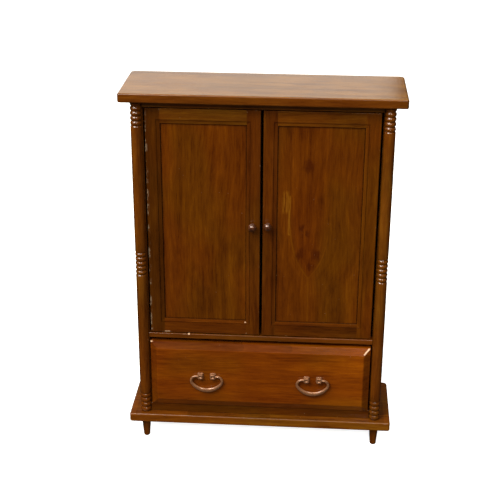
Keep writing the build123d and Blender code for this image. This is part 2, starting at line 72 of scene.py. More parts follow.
# ---- node graphs --------------------------------------------------------------------------------
class Graph:
    """A material's nodes, with short ways to add the ones that the finishes need."""

    def __init__(self, name):
        self.material = bpy.data.materials.new(name)
        self.material.use_nodes = True
        self.tree = self.material.node_tree
        self.tree.nodes.clear()
        self.shader = self.add("ShaderNodeBsdfPrincipled")
        self.output = self.add("ShaderNodeOutputMaterial")
        self.join(self.shader.outputs[0], self.output.inputs["Surface"])

    def add(self, kind, **settings):
        node = self.tree.nodes.new(kind)
        for key, value in settings.items():
            setattr(node, key, value)
        return node

    def join(self, source, socket):
        self.tree.links.new(source, socket)

    def feed(self, socket, value):
        """Links an output to a socket, or sets a plain value on it."""
        if isinstance(value, bpy.types.NodeSocket):
            self.join(value, socket)
        else:
            socket.default_value = value

    def math(self, operation, a, b=0.0, c=0.0, clamp=False):
        node = self.add("ShaderNodeMath", operation=operation, use_clamp=clamp)
        for socket, value in zip(node.inputs, (a, b, c)):
            self.feed(socket, value)
        return node.outputs[0]

    def product(self, first, *others):
        for other in others:
            first = self.math("MULTIPLY", first, other)
        return first

    def vector(self, operation, a, b=(0, 0, 0)):
        node = self.add("ShaderNodeVectorMath", operation=operation)
        self.feed(node.inputs[0], a)
        if operation == "SCALE":
            self.feed(node.inputs["Scale"], b)
        else:
            self.feed(node.inputs[1], b)
        one_number = operation in ("LENGTH", "DOT_PRODUCT")
        return node.outputs["Value" if one_number else "Vector"]

    def split(self, vector):
        node = self.add("ShaderNodeSeparateXYZ")
        self.join(vector, node.inputs[0])
        return node.outputs

    def pack(self, x, y, z):
        node = self.add("ShaderNodeCombineXYZ")
        for socket, value in zip(node.inputs, (x, y, z)):
            self.feed(socket, value)
        return node.outputs[0]

    def noise(self, at, scale, detail=3.0, roughness=0.5, colour=False):
        node = self.add("ShaderNodeTexNoise")
        self.join(at, node.inputs["Vector"])
        node.inputs["Scale"].default_value = scale
        node.inputs["Detail"].default_value = detail
        node.inputs["Roughness"].default_value = roughness
        return node.outputs["Color" if colour else 0]

    def rise(self, value, low, high):
        """0 at low and below, 1 at high and above, smooth between them."""
        node = self.add("ShaderNodeMapRange", interpolation_type="SMOOTHSTEP")
        self.feed(node.inputs["Value"], value)
        node.inputs["From Min"].default_value = low
        node.inputs["From Max"].default_value = high
        return node.outputs["Result"]

    def fall(self, value, low, high):
        """1 at low and below, 0 at high and above, smooth between them."""
        return self.math("SUBTRACT", 1.0, self.rise(value, low, high))

    def mix(self, factor, a, b, blend="MIX"):
        node = self.add("ShaderNodeMix", data_type="RGBA", blend_type=blend)
        self.feed(node.inputs["Factor"], factor)
        self.feed(node.inputs[6], a)
        self.feed(node.inputs[7], b)
        return node.outputs[2]

    def ramp(self, value, stops):
        node = self.add("ShaderNodeValToRGB")
        ramp = node.color_ramp
        while len(ramp.elements) < len(stops):
            ramp.elements.new(0.5)
        for element, (place, colour) in zip(ramp.elements, stops):
            element.position = place
            element.color = (*colour, 1)
        self.feed(node.inputs[0], value)
        return node.outputs[0]

    def bump(self, height, distance, strength):
        node = self.add("ShaderNodeBump")
        node.inputs["Strength"].default_value = strength
        node.inputs["Distance"].default_value = distance
        self.join(height, node.inputs["Height"])
        self.join(node.outputs[0], self.shader.inputs["Normal"])

    def place_mm(self):
        """Where a point is in the row frame at rest, in millimetres."""
        coordinates = self.add("ShaderNodeTexCoord")
        return self.vector("SCALE", coordinates.outputs["Object"], 1 / MM)


def srgb(red, green, blue):
    """A display colour from 0 to 255 as the linear values that Blender uses."""
    def linear(value):
        value /= 255
        return value / 12.92 if value <= 0.04045 else ((value + 0.055) / 1.055) ** 2.4
    return linear(red), linear(green), linear(blue)


# ---- stains -------------------------------------------------------------------------------------
# The four tones of a stain, as shares of its middle colour, and where each lies in the figure.
SHADES = ((0.76, 0.66, 0.4), (0.94, 0.91, 0.8), (1.05, 1.07, 1.1), (1.22, 1.34, 1.6))
SHADE_STOPS = (0.40, 0.47, 0.53, 0.61)


def shades(red, green, blue, contrast=1.0):
    """Four tones of a stain, from its late wood to its palest fibres, about a middle colour."""
    tones = [[1 + (part - 1) * contrast for part in shade] for shade in SHADES]
    return [srgb(red * r, green * g, blue * b) for r, g, b in tones]


CASE = shades(82, 43, 5)
BASE = shades(98, 54, 6)
# A darker tone that paints the shade on the plinth, recessed under the drawer.
SHADED_PLINTH = shades(68, 33, 2)
SHELF = shades(75, 37, 4)
DOOR = shades(78, 38, 1)
FRAME = shades(71, 34, 2)
# Darker, partly as older wood and partly as a painted shadow of the left column.
SHADOWED_OLD_STILE = shades(62, 29, 1)
RAIL = shades(88, 48, 4)
DRAWER = shades(97, 46, 1, contrast=0.85)
INNER = shades(132, 90, 50)

BARE_AND_HIGHLIGHT = srgb(214, 178, 142)      # wood where the stain has gone, also the colour of a painted corner highlight
DUST = srgb(150, 132, 108)
POOLED_STAIN_AND_SHADE = srgb(26, 9, 1)         # painted shade in recesses and under parts, with stain lying thick at a panel's edges
KNOT = srgb(54, 18, 1)
STREAK = srgb(124, 78, 12)
# A pale tan laid on top faces as a painted sheen.
TOP_SHEEN = srgb(142, 97, 32)

# Tints that multiply a stain.
REDDER, GREENER = (1.05, 0.93, 0.8, 1), (0.98, 1.04, 0.95, 1)
HEART, BESIDE_HEART = (0.92, 0.83, 0.7, 1), (1.02, 1.06, 1.05, 1)
PALER_TINT = (1.35, 1.45, 1.6, 1)

# A line on a board's front, between two (x, z) points. Its strength runs from 0 to 1.
Mark = namedtuple("Mark", "start end half_width strength")


# ---- wood ---------------------------------------------------------------------------------------
SEED_SHIFT = 37.0               # how far apart in the noise two boards a seed apart are cut
WANDER = 7.0                    # the grain strays from straight by up to half of this
SKIN = (1.5, 1.8)               # a mark on the front fades out between these depths behind it

# The arched figure on the right panel. Its streaks and knots are placed from its foot.
ARCH_FOOT = (19.0, 75.7)
ARCH_HALF_WIDTH = 8.7
ARCH_OPENING = 12.0             # the height by which it has opened to 0.7 of that
ARCH_FADES = (22, 52)           # it is clear up to the first height and faint above the second
Streak = namedtuple("Streak", "across low high half_width strength")
STREAKS = (Streak(-9.6, 29.0, 36.0, 2.0, 0.55), Streak(-8.0, 19.0, 35.0, 0.8, 0.7))
Knot = namedtuple("Knot", "across height size")
KNOTS = (
    Knot(-1.3, 19.0, 1.6),
    Knot(-3.7, 10.4, 2.1),
    Knot(2.6, 9.6, 2.6),
    Knot(-3.2, 21.5, 1.3),
    Knot(0.4, 4.6, 1.6),
    Knot(-0.8, 47.0, 2.6),
)


class Wood(Graph):
    """Stained wood under semi-gloss lacquer. Its marks lie over each other in the order of the calls.

    grain is the axis that the fibres run along, tones is the stain, and box is the board's corners,
    or None for a piece whose edges get neither chips nor a painted highlight.
    """

    def __init__(self, name, seed, grain, tones, box):
        super().__init__(name)
        self.tones, self.box, self.bare_and_highlight = tones, box, None
        self.place = self.place_mm()
        self.x, self.y, self.z = self.split(self.place)
        self.along = (self.x, self.y, self.z)[grain]
        across = [axis for i, axis in enumerate((self.x, self.y, self.z)) if i != grain]
        shift = SEED_SHIFT * seed
        self.at = self.pack(
            self.math("ADD", across[0], shift),
            self.math("ADD", across[1], 0.61 * shift),
            self.math("ADD", self.along, 1.7 * shift),
        )
        drift = self.drawn_out(self.at, 0.035, 0.012, detail=2.0, roughness=0.5, colour=True)
        drift = self.vector("SCALE", self.vector("SUBTRACT", drift, (0.5, 0.5, 0.5)), WANDER)
        self.bent = self.vector("ADD", self.at, drift)

    def drawn_out(self, at, across, along, detail=3.0, roughness=0.6, colour=False):
        """Noise drawn out along the grain. Its scales are per millimetre, across and along it."""
        scaled = self.vector("MULTIPLY", at, (across, across, along))
        return self.noise(scaled, 1.0, detail, roughness, colour)

    def lay(self, amount, tone):
        """Covers the colour so far with a tone, by an amount from 0 to 1."""
        self.colour = self.mix(amount, self.colour, (*tone, 1))

    def tinge(self, tint):
        """Multiplies the colour so far by a tint."""
        self.colour = self.mix(1.0, self.colour, tint, "MULTIPLY")

    def roughen(self, distance, noise, reach):
        """A distance that noise makes ragged, by up to half of reach either way."""
        return self.math("MULTIPLY_ADD", self.math("SUBTRACT", noise, 0.5), reach, distance)

    def distance_from(self, start, end):
        """How far a point is from a line between two (x, z) points on the front."""
        (ax, az), (bx, bz) = start, end
        run = Vector((bx - ax, 0, bz - az))
        flat = self.vector("MULTIPLY", self.place, (1, 0, 1))
        away = self.vector("SUBTRACT", flat, (ax, 0, az))
        reach = self.vector("DOT_PRODUCT", away, run / run.length_squared)
        part = self.math("MINIMUM", self.math("MAXIMUM", reach, 0.0), 1.0)
        return self.vector("LENGTH", self.vector("SUBTRACT", away, self.vector("SCALE", run, part)))

    def arris_distance(self, open_axes):
        """How far a point on the board's surface is from the nearest edge of its box, about."""
        place = (self.x, self.y, self.z)
        low, high = self.box
        gaps = []
        for axis in open_axes:
            middle, half = (low[axis] + high[axis]) / 2, (high[axis] - low[axis]) / 2
            off = self.math("ABSOLUTE", self.math("SUBTRACT", place[axis], middle))
            gaps.append(self.math("SUBTRACT", half, off))
        nearer = self.math("MINIMUM", gaps[0], gaps[1])
        farther = self.math("MAXIMUM", gaps[0], gaps[1])
        if len(gaps) == 2:
            return farther
        return self.math("MAXIMUM", nearer, self.math("MINIMUM", farther, gaps[2]))

    def skin(self):
        """1 on the front of a board and 0 a little way behind it, so that marks don't go through."""
        front = self.box[0][Y]
        return self.fall(self.y, front + SKIN[0], front + SKIN[1])

    def outside_arch(self, foot):
        """Grain that arches down to a pointed foot at (x, z): how far outside it a point is."""
        above = self.math("MAXIMUM", self.math("SUBTRACT", self.z, foot[1]), 0.0)
        squared = self.math("MULTIPLY_ADD", above, above, ARCH_OPENING**2)
        spread = self.math("DIVIDE", above, self.math("SQRT", squared))
        off = self.math("ABSOLUTE", self.math("SUBTRACT", self.x, foot[0]))
        return self.math("SUBTRACT", off, self.product(spread, ARCH_HALF_WIDTH))

    def draw_figure(self, outside=None):
        """Growth bands and cloudy stain, with mottle, fibres and flecks at three finer scales.

        Where outside is given, the bands follow an arch, by how far outside it a point is.
        """
        ring_at = self.bent
        if outside:
            ring_at = self.pack(outside, self.y, self.product(self.along, 0.4))
        bands = self.drawn_out(ring_at, 0.34, 0.013, roughness=0.55)
        self.clouds = self.drawn_out(self.at, 0.07, 0.045)
        mottle = self.drawn_out(self.bent, 0.62, 0.09)
        self.fibres = self.drawn_out(self.bent, 1.45, 0.12)
        self.flecks = self.drawn_out(self.bent, 3.4, 0.5, detail=2.0, roughness=0.5)
        self.figure = self.product(bands, 0.28)
        finer = ((self.clouds, 0.20), (mottle, 0.14), (self.fibres, 0.26), (self.flecks, 0.12))
        for layer, weight in finer:
            self.figure = self.math("MULTIPLY_ADD", layer, weight, self.figure)
        self.colour = self.ramp(self.figure, list(zip(SHADE_STOPS, self.tones)))
        pores = self.product(self.rise(self.flecks, 0.57, 0.72), 0.35)
        self.lay(pores, self.tones[0])
        hue = self.drawn_out(self.at, 0.045, 0.022, detail=2.0, roughness=0.5)
        self.tinge(self.mix(self.rise(hue, 0.40, 0.62), REDDER, GREENER))

    def draw_arch(self, foot, outside):
        """The arch's red heart and its broken pale rim, with two pale streaks and some knots."""
        low_down = self.fall(self.z, foot[1] + ARCH_FADES[0], foot[1] + ARCH_FADES[1])
        inside = self.fall(outside, -2.6, 0.8)
        inside = self.product(inside, self.math("MULTIPLY_ADD", low_down, 0.7, 0.3))
        self.tinge(self.mix(inside, BESIDE_HEART, HEART))
        rim = self.fall(self.math("ABSOLUTE", outside), 0.10, 0.55)
        broken = self.product(self.rise(self.clouds, 0.38, 0.58), low_down)
        self.lay(self.product(rim, broken, 0.75), self.tones[3])
        for streak in STREAKS:
            x = foot[0] + streak.across
            gap = self.distance_from((x, foot[1] + streak.low), (x, foot[1] + streak.high))
            pale = self.fall(gap, 0.0, streak.half_width)
            torn_off = self.rise(self.fibres, 0.34, 0.58)
            self.lay(self.product(pale, torn_off, streak.strength), STREAK)
        torn = self.drawn_out(self.place, 0.5, 0.3)
        for knot in KNOTS:
            x, z = foot[0] + knot.across, foot[1] + knot.height
            gap = self.distance_from((x, z), (x + 0.2, z + knot.size * 0.5))
            ragged = self.roughen(self.roughen(gap, self.fibres, 3.0), torn, 5.0)
            self.lay(self.product(self.fall(ragged, 0.0, knot.size * 1.2), 0.75), KNOT)

    def paint_top_sheen(self, height):
        """A painted sheen on a top face, strongest on its paler fibres."""
        streaky = self.math("MULTIPLY_ADD", self.rise(self.figure, 0.42, 0.58), 0.5, 0.25)
        self.lay(self.product(self.rise(self.z, height - 0.22, height), streaky), TOP_SHEEN)

    def grow_paler(self, start, end):
        """Colour that grows paler from one x to another."""
        lightened = self.mix(1.0, self.colour, PALER_TINT, "MULTIPLY")
        self.colour = self.mix(self.rise(self.x, start, end), self.colour, lightened)

    def paint_shade_along(self, mark):
        """Painted shade along a mark."""
        gap = self.distance_from(mark.start, mark.end)
        stain = self.fall(gap, mark.half_width * 0.8, mark.half_width * 1.1)
        self.lay(self.product(stain, mark.strength), POOLED_STAIN_AND_SHADE)

    def shade_and_pool_inside(self, low_x, high_x, low_z, high_z):
        """Painted shade, with thick stain, along the four edges of a framed panel."""
        from_sides = self.math(
            "MINIMUM", self.math("SUBTRACT", self.x, low_x), self.math("SUBTRACT", high_x, self.x)
        )
        from_ends = self.math(
            "MINIMUM", self.math("SUBTRACT", self.z, low_z), self.math("SUBTRACT", high_z, self.z)
        )
        rim = self.math("MINIMUM", from_sides, from_ends)
        ragged = self.math("MULTIPLY_ADD", self.noise(self.at, 0.9), 0.5, rim)
        self.lay(self.product(self.fall(ragged, 0.30, 0.85), 0.8), POOLED_STAIN_AND_SHADE)

    def rub_arrises_and_highlight(self, open_axes, wear):
        """A painted highlight along the edges, and unstained wood where they are chipped."""
        arris = self.arris_distance(open_axes)
        chips = self.rise(self.noise(self.at, 0.55, 4.0, 0.7), 0.60, 0.74)
        self.bare_and_highlight = self.product(self.fall(arris, 0.08, 0.40), chips, wear)
        self.lay(self.product(self.fall(arris, 0.15, 0.7), 0.5 * wear), self.tones[3])

    def dust_edge(self, x):
        """Grey lint caught along the edge of a board at x."""
        near = self.fall(self.math("ABSOLUTE", self.math("SUBTRACT", self.x, x)), 0.2, 1.0)
        lint = self.rise(self.drawn_out(self.at, 1.2, 0.4, roughness=0.7), 0.50, 0.64)
        self.lay(self.product(near, self.skin(), lint, 0.6), DUST)

    def scuff(self, mark):
        """A chip or a scrape through the stain, also used to lay a painted highlight. The board's
        arrises have to be rubbed first.
        """
        gap = self.distance_from(mark.start, mark.end)
        gap = self.roughen(gap, self.noise(self.place, 1.6), mark.half_width)
        scraped = self.fall(gap, mark.half_width * 0.55, mark.half_width * 1.1)
        scraped = self.product(scraped, mark.strength, self.skin())
        self.bare_and_highlight = self.math("MAXIMUM", self.bare_and_highlight, scraped)

    def lacquer(self):
        """Shows worn-through wood, a painted corner highlight and pale specks, then gives gloss and
        relief.
        """
        if self.bare_and_highlight:
            self.lay(self.bare_and_highlight, BARE_AND_HIGHLIGHT)
        specks = self.rise(self.noise(self.place, 1.35, 1.0), 0.80, 0.84)
        self.lay(self.product(specks, 0.2), BARE_AND_HIGHLIGHT)
        self.join(self.colour, self.shader.inputs["Base Color"])

        smear = self.drawn_out(self.at, 0.16, 0.06, roughness=0.5)
        rough = self.math("MULTIPLY_ADD", smear, 0.10, 0.10)
        rough = self.math("MULTIPLY_ADD", self.fibres, 0.05, rough)
        if self.bare_and_highlight:
            rough = self.math("MULTIPLY_ADD", self.bare_and_highlight, 0.2, rough)
        self.join(rough, self.shader.inputs["Roughness"])
        self.shader.inputs["Specular IOR Level"].default_value = 0.36
        self.shader.inputs["Coat Weight"].default_value = 0.25
        self.shader.inputs["Coat Roughness"].default_value = 0.10
        height = self.math("MULTIPLY_ADD", self.fibres, 0.5, self.product(self.flecks, -0.35))
        height = self.math("MULTIPLY_ADD", self.noise(self.place, 0.7, 2.0), 0.6, height)
        self.bump(height, 0.03 * MM, 0.7)


def wood(name, seed, grain, tones, box=None, open_axes=(X, Y, Z), wear=0.0, panel=None, arch=None,
         scuffs=(), pooled=(), dusty=None, faded=None, paler=None):
    """A wood material, all of whose places are in millimetres.

    box is the piece's corners, whose arrises get chips and a painted highlight by wear,
    from 0 to 1. An axis left out of open_axes has no free edge. panel is the seen rectangle of a
    framed panel, (x low, x high, z low, z high), whose edges get painted shade with thick stain, and
    arch is the foot of an arched figure, (x, z). scuffs are marks that show unstained wood, also used
    for a painted corner highlight, and pooled are marks of painted shade. dusty is the x of a
    dusty edge. faded is the height of a top face that gets a painted sheen, and the colour grows
    paler between the two x in paler.
    """
    finish = Wood(name, seed, grain, tones, box)
    outside = finish.outside_arch(arch) if arch else None
    finish.draw_figure(outside)
    if arch:
        finish.draw_arch(arch, outside)
    if faded:
        finish.paint_top_sheen(faded)
    if paler:
        finish.grow_paler(*paler)
    for mark in pooled:
        finish.paint_shade_along(mark)
    if panel:
        finish.shade_and_pool_inside(*panel)
    if box:
        finish.rub_arrises_and_highlight(open_axes, wear)
    if dusty:
        finish.dust_edge(dusty)
    for mark in scuffs:
        finish.scuff(mark)
    finish.lacquer()
    return finish.material


# ---- metal --------------------------------------------------------------------------------------
def metal(name, bright, dark, rough, tarnish, metallic):
    """Old plated metal: bright where it is handled, dull and dark where tarnish has stayed."""
    g = Graph(name)
    place = g.place_mm()
    stain = g.rise(g.noise(place, 1.1, 4.0, 0.6), 0.42, 0.62)
    fine = g.noise(place, 5.0, 3.0, 0.6)
    mask = g.math("MULTIPLY_ADD", g.rise(fine, 0.55, 0.72), 0.25, g.product(stain, tarnish), clamp=True)
    g.join(g.mix(mask, (*bright, 1), (*dark, 1)), g.shader.inputs["Base Color"])
    g.join(g.math("MULTIPLY_ADD", mask, 0.25, rough), g.shader.inputs["Roughness"])
    g.shader.inputs["Metallic"].default_value = metallic
    g.shader.inputs["Coat Weight"].default_value = 0.6
    g.shader.inputs["Coat Roughness"].default_value = 0.06
    g.bump(fine, 0.02 * MM, 0.6)
    return g.material


# ---- mesh helpers -------------------------------------------------------------------------------
def mesh_piece(name, mesh_maker, material, body, node, smooth=True):
    """Makes a piece that rides on a body and stands for a CAD node."""
    mesh = bpy.data.meshes.new(name)
    shape = bmesh.new()
    mesh_maker(shape)
    bmesh.ops.recalc_face_normals(shape, faces=shape.faces)
    shape.to_mesh(mesh)
    shape.free()
    for face in mesh.polygons:
        face.use_smooth = smooth
    mesh.materials.append(material)
    piece = bpy.data.objects.new(name, mesh)
    bpy.context.scene.collection.objects.link(piece)
    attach(piece, body)
    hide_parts(node)


def loft(shape, rings):
    """Skins rings of equal point counts and closes both ends."""
    rows = [[shape.verts.new(point) for point in ring] for ring in rings]
    for low, high in zip(rows, rows[1:]):
        for i in range(len(low)):
            j = (i + 1) % len(low)
            shape.faces.new((low[i], low[j], high[j], high[i]))
    shape.faces.new(reversed(rows[0]))
    shape.faces.new(rows[-1])


def arc(start, middle, end, count):
    """Points on the circle through three points of a plane, without the first."""
    (ax, ay), (bx, by), (cx, cy) = start, middle, end
    d = 2 * (ax * (by - cy) + bx * (cy - ay) + cx * (ay - by))
    ux = ((ax**2 + ay**2) * (by - cy) + (bx**2 + by**2) * (cy - ay) + (cx**2 + cy**2) * (ay - by)) / d
    uy = ((ax**2 + ay**2) * (cx - bx) + (bx**2 + by**2) * (ax - cx) + (cx**2 + cy**2) * (bx - ax)) / d
    radius = math.hypot(ax - ux, ay - uy)
    first = math.atan2(ay - uy, ax - ux)
    through = math.atan2(by - uy, bx - ux)
    last = math.atan2(cy - uy, cx - ux)
    turn = (last - first) % math.tau
    if (through - first) % math.tau > turn:
        turn -= math.tau
    steps = (first + turn * k / count for k in range(1, count + 1))
    return [(ux + radius * math.cos(t), uy + radius * math.sin(t)) for t in steps]


def lathe(profile, centre, axis=Z, segments=48, squash=None):
    """A maker for a turned piece: (radius, height) points about an axis through centre.

    Heights run up Z, or forward, toward -Y. squash moves each point of the turned surface.
    """
    def make(shape):
        rings = []
        for radius, height in profile:
            ring = []
            for k in range(segments):
                angle = math.tau * k / segments
                a, b = radius * math.cos(angle), radius * math.sin(angle)
                point = Vector((a, b, height)) if axis == Z else Vector((a, -height, b))
                point += centre
                ring.append(squash(point) if squash else point)
            rings.append(ring)
        loft(shape, rings)
    return make


# ---- turned pieces ------------------------------------------------------------------------------
BEAD_STEPS = 8
BEAD_GAP = 0.06                 # half the groove between two beads, as a share of their pitch
BASE_BEADS, MIDDLE_BEADS, TOP_BEADS = 4, 5, 5
BASE_BEADS_TALL, TOP_BEADS_TALL = 8.8 * MM, 9.75 * MM
MIDDLE_BEADS_LOW, MIDDLE_BEADS_HIGH = 76.1 * MM, 85.9 * MM
GROOVE_DEPTH = 0.42 * MM
SWELL = 0.04 * MM               # how much more a shaft's middle stands out than its ends
SHAFT_STEP = 0.35 * MM          # the height over which a shaft steps out of the groove


def beads(low, high, count, radius, groove):
    """The profile of a run of rounded beads, with a narrow groove between each two."""
    pitch = (high - low) / count
    points = []
    for n in range(count):
        foot, head = low + (n + BEAD_GAP) * pitch, low + (n + 1 - BEAD_GAP) * pitch
        crown = low + (n + 0.5) * pitch
        points.append((groove, foot))
        points += arc((groove, foot), (radius, crown), (groove, head), BEAD_STEPS)
    return points


def shaft(low, high, radius, groove, steps=14):
    """The profile of a plain length with a slight swell, stepping out of the groove at each end."""
    slim = radius - SWELL
    eased = slim - 0.05 * MM
    foot, head = low + SHAFT_STEP, high - SHAFT_STEP
    points = [(groove, low), (eased, low + 0.5 * SHAFT_STEP), (slim, foot)]
    points += arc((slim, foot), (radius, (low + high) / 2), (slim, head), steps)
    points += [(eased, high - 0.5 * SHAFT_STEP), (groove, high)]
    return points


def column_profile(low, high, radius):
    """Beads at the base, in the middle and at the top, with swelled shafts between."""
    groove = radius - GROOVE_DEPTH
    base_high, top_low = low + BASE_BEADS_TALL, high - TOP_BEADS_TALL
    return [
        (groove, low),
        *beads(low, base_high, BASE_BEADS, radius, groove),
        *shaft(base_high, MIDDLE_BEADS_LOW, radius, groove),
        *beads(MIDDLE_BEADS_LOW, MIDDLE_BEADS_HIGH, MIDDLE_BEADS, radius, groove),
        *shaft(MIDDLE_BEADS_HIGH, top_low, radius, groove),
        *beads(top_low, high, TOP_BEADS, radius, groove),
        (groove, high),
    ]


def build_columns():
    board_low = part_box("top_board")[0].z
    board_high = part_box("base_board")[1].z
    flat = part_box("left_side")[0].y

    def planed(point):
        """Keeps a column's back flat, where it is glued to the carcass."""
        return Vector((point.x, min(point.y, flat), point.z))

    for side, seed in zip(SIDES, (3.1, 4.7)):
        node = f"{side}_column"
        low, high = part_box(node)
        radius = (high.x - low.x) / 2
        centre = Vector(((low.x + high.x) / 2, low.y + radius, 0))
        grain = wood(f"{node}_wood", seed, Z, CASE)
        maker = lathe(column_profile(board_high, board_low, radius), centre, squash=planed)
        mesh_piece(f"turned_{node}", maker, grain, "carcass", node)


def foot_profile(top, radius):
    """A blunt peg foot: a taper and a rounded toe with a small flat tip."""
    tip, toe, toe_height = 0.8 * MM, 1.35 * MM, 0.9 * MM
    return [
        (tip * 0.6, 0.0),
        (tip, 0.0),
        *arc((tip, 0.0), (toe - 0.14 * MM, toe_height * 0.32), (toe, toe_height), 6),
        (radius * 0.92, top * 0.6),
        (radius * 0.99, top - 0.3 * MM),
        (radius, top),
    ]


def build_feet():
    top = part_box("base_board")[0].z
    for row in ("front", "rear"):
        for side in SIDES:
            node = f"{row}_{side}_foot"
            low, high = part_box(node)
            centre = Vector(((low.x + high.x) / 2, (low.y + high.y) / 2, 0))
            radius = (high.x - low.x) / 2
            grain = wood(f"{node}_wood", len(row) + 1.7 * len(side), Z, CASE)
            maker = lathe(foot_profile(top, radius), centre, segments=32)
            mesh_piece(f"turned_{node}", maker, grain, "carcass", node)


# ---- handles ------------------------------------------------------------------------------------
WIRE_SIDES = 20
BAIL_CORNER = 2.1 * MM          # the bend of a bail's centreline at each top corner
BAIL_NECK_INSET = 0.7 * MM      # how far a bail's ends reach into the posts' outer faces
BAIL_BELLY = 0.95 * MM          # half the wire's height at the foot of the bow
BAIL_THIN = 0.92                # its thickness at the posts, as a share of its depth
POST_SPACING = 5.2 * MM
POST_ROUNDING = 0.22            # the share of a post's half width that each corner cuts off


def knob_profile(reach, radius):
    """A flange, a waist and a rounded head with a slightly flattened crown."""
    rim = reach - radius
    neck = (0.95 * MM, 0.5 * MM)
    flange = [(1.15 * MM, 0.0), (1.22 * MM, 0.12 * MM), (1.18 * MM, 0.34 * MM), neck]
    waist = arc(neck, (0.66 * MM, 0.72 * MM), (0.78 * MM, reach * 0.3), 5)
    shoulder = arc(waist[-1], (radius * 0.86, rim * 0.70), (radius, rim), 7)
    crown = arc((radius, rim), (radius * 0.74, rim + radius * 0.67), (0.06 * MM, reach), 12)
    return flange + waist + shoulder + crown


def build_knobs(material):
    for side in SIDES:
        node = f"{side}_door_knob"
        low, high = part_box(node)
        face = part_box(f"{side}_door_inner_stile")[0].y
        centre = Vector(((low.x + high.x) / 2, face, (low.z + high.z) / 2))
        maker = lathe(knob_profile(face - low.y, (high.x - low.x) / 2), centre, axis=Y, segments=36)
        mesh_piece(f"turned_{side}_knob", maker, material, f"{side}_door", node)


def bail_pivot(side):
    joint = next(j for j in frame["joints"] if j["name"] == f"{side}_bail_hinge")
    return Vector(joint["pos_m"])


def bail_line(half, drop, corner, neck, steps=12):
    """The bail's centreline from one post to the other, as (x, z) about its pivot."""
    flat = half - corner
    bow = (flat**2 + drop**2 - 2 * drop * corner) / (2 * (drop - 2 * corner))
    reach = math.hypot(flat, bow - drop + corner)
    meet_x = flat * (1 + corner / reach)
    meet_z = -corner - corner * (bow - drop + corner) / reach
    right = [(neck, 0.0), (0.5 * (neck + flat), 0.0), (flat, 0.0)]
    right += arc((flat, 0.0), (half, -corner), (meet_x, meet_z), steps)
    first = math.atan2(meet_z - (bow - drop), meet_x)
    for k in range(1, steps + 1):
        angle = first + (-math.pi / 2 - first) * k / steps
        right.append((bow * math.cos(angle), bow - drop + bow * math.sin(angle)))
    left = [(-x, z) for x, z in reversed(right[:-1])]
    return right + left


def bent_wire(line, pivot, wire, drop):
    """A maker for a bail along (x, z) points about its pivot. wire is half its depth, front to back."""
    thin = wire * BAIL_THIN

    def make(shape):
        rings = []
        for i, (x, z) in enumerate(line):
            before, after = line[max(i - 1, 0)], line[min(i + 1, len(line) - 1)]
            run = Vector((after[0] - before[0], 0, after[1] - before[1])).normalized()
            side_way = Vector((-run.z, 0, run.x))
            depth = min(max(-z / drop, 0.0), 1.0)
            thick = thin + (BAIL_BELLY - thin) * depth**2.2
            centre = pivot + Vector((x, 0, z))
            ring = []
            for k in range(WIRE_SIDES):
                angle = math.tau * k / WIRE_SIDES
                out = side_way * (thick * math.cos(angle))
                ring.append(centre + out + Vector((0, wire * math.sin(angle), 0)))
            rings.append(ring)
        loft(shape, rings)
    return make


def build_bails(material):
    for side in SIDES:
        node = f"{side}_pull_bail"
        pivot = bail_pivot(side)
        low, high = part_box(node)
        wire = (high.y - low.y) / 2
        half = (high.x - low.x) / 2 - wire
        drop = pivot.z - low.z - BAIL_BELLY
        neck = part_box(f"{side}_pull_posts")[1].x - pivot.x - BAIL_NECK_INSET
        line = bail_line(half, drop, BAIL_CORNER, neck)
        maker = bent_wire(line, pivot, wire, drop)
        mesh_piece(f"cast_{side}_bail", maker, material, f"{side}_bail", node)


def post_levels(field, front):
    """A post from the drawer's face forward, as (share of its full width, y), with a dished head."""
    return (
        (1.0, field),
        (1.0, field - 0.3 * MM),
        (0.86, field - 0.42 * MM),
        (0.86, front + 0.40 * MM),
        (0.80, front + 0.12 * MM),
        (0.68, front),
        (0.42, front + 0.05 * MM),
        (0.22, front + 0.30 * MM),
    )


def square_posts(pivot, wide, tall, levels):
    """A maker for the posts either side of a pivot. wide and tall are half a post's width and height."""
    def make(shape):
        for hand in (-1, 1):
            x = pivot.x + hand * POST_SPACING / 2
            rings = []
            for scale, y in levels:
                a, b = wide * scale, tall * scale
                ring = []
                for cx, cz in ((1, 1), (-1, 1), (-1, -1), (1, -1)):
                    corner = [(1, 1 - POST_ROUNDING), (1 - POST_ROUNDING, 1)]
                    if cx * cz < 0:
                        corner.reverse()
                    ring += [Vector((x + cx * p * a, y, pivot.z + cz * q * b)) for p, q in corner]
                rings.append(ring)
            loft(shape, rings)
    return make


def build_posts(material):
    """Square posts with a moulded foot and a dished head, which hold the ends of a bail."""
    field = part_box("drawer_front")[0].y
    for side in SIDES:
        node = f"{side}_pull_posts"
        low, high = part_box(node)
        wide = (high.x - low.x - POST_SPACING) / 2
        tall = (high.z - low.z) / 2
        maker = square_posts(bail_pivot(side), wide, tall, post_levels(field, low.y))
        mesh_piece(f"cast_{side}_posts", maker, material, "drawer", node, smooth=False)


# ---- boards that keep their CAD shape -----------------------------------------------------------
def box_mm(node):
    low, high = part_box(node)
    return [v / MM for v in low], [v / MM for v in high]


def finish_node(node, material):
    for slot in NODES[node].material_slots:
        slot.material = material


def board(node, seed, grain, tones, **options):
    finish_node(node, wood(f"{node}_wood", seed, grain, tones, box=box_mm(node), **options))


